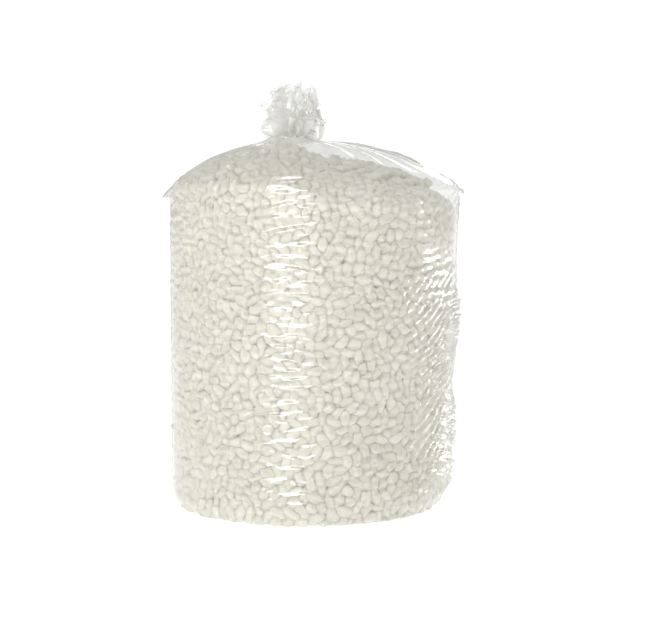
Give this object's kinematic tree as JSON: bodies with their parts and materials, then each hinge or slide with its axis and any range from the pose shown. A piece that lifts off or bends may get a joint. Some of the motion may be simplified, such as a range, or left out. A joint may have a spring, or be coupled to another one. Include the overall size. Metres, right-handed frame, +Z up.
{
  "type": "packing peanut bag",
  "caption": "Clear film bag packed with loose foam peanuts, gathered and tied at the neck with a crumpled ruffle above.",
  "frame": {"origin": "middle of the flat floor face of the bag", "axes": "+Z up through the bag to the tied neck, front towards -Y, +X along the line between the two edge creases, to the viewer's right"},
  "size_m": [0.6368, 0.6019, 0.8988],
  "materials": {
    "clear_film": "clear thin polyethylene film, glossy and crinkled",
    "peanut_foam": "off-white matte expanded foam",
    "tie_plastic": "white plastic coated wire"
  },
  "bodies": {
    "root": {"film_bag": "clear_film", "neck_tie": "tie_plastic", "peanut_01": "peanut_foam", "peanut_02": "peanut_foam", "peanut_03": "peanut_foam", "peanut_04": "peanut_foam", "peanut_05": "peanut_foam", "peanut_06": "peanut_foam", "peanut_07": "peanut_foam", "peanut_08": "peanut_foam", "peanut_09": "peanut_foam", "peanut_10": "peanut_foam", "peanut_11": "peanut_foam", "peanut_12": "peanut_foam", "peanut_13": "peanut_foam", "peanut_14": "peanut_foam", "peanut_15": "peanut_foam", "peanut_16": "peanut_foam", "peanut_17": "peanut_foam", "peanut_18": "peanut_foam", "peanut_19": "peanut_foam", "peanut_20": "peanut_foam", "peanut_21": "peanut_foam", "peanut_22": "peanut_foam", "peanut_23": "peanut_foam", "peanut_24": "peanut_foam", "peanut_25": "peanut_foam", "peanut_26": "peanut_foam", "peanut_27": "peanut_foam", "peanut_28": "peanut_foam", "peanut_29": "peanut_foam", "peanut_30": "peanut_foam", "peanut_31": "peanut_foam", "peanut_32": "peanut_foam", "peanut_33": "peanut_foam", "peanut_34": "peanut_foam", "peanut_35": "peanut_foam", "peanut_36": "peanut_foam", "peanut_37": "peanut_foam", "peanut_38": "peanut_foam", "peanut_39": "peanut_foam", "peanut_40": "peanut_foam", "peanut_41": "peanut_foam", "peanut_42": "peanut_foam", "peanut_43": "peanut_foam", "peanut_44": "peanut_foam", "peanut_45": "peanut_foam", "peanut_46": "peanut_foam", "peanut_fill": "peanut_foam"}
  },
  "joints": []
}
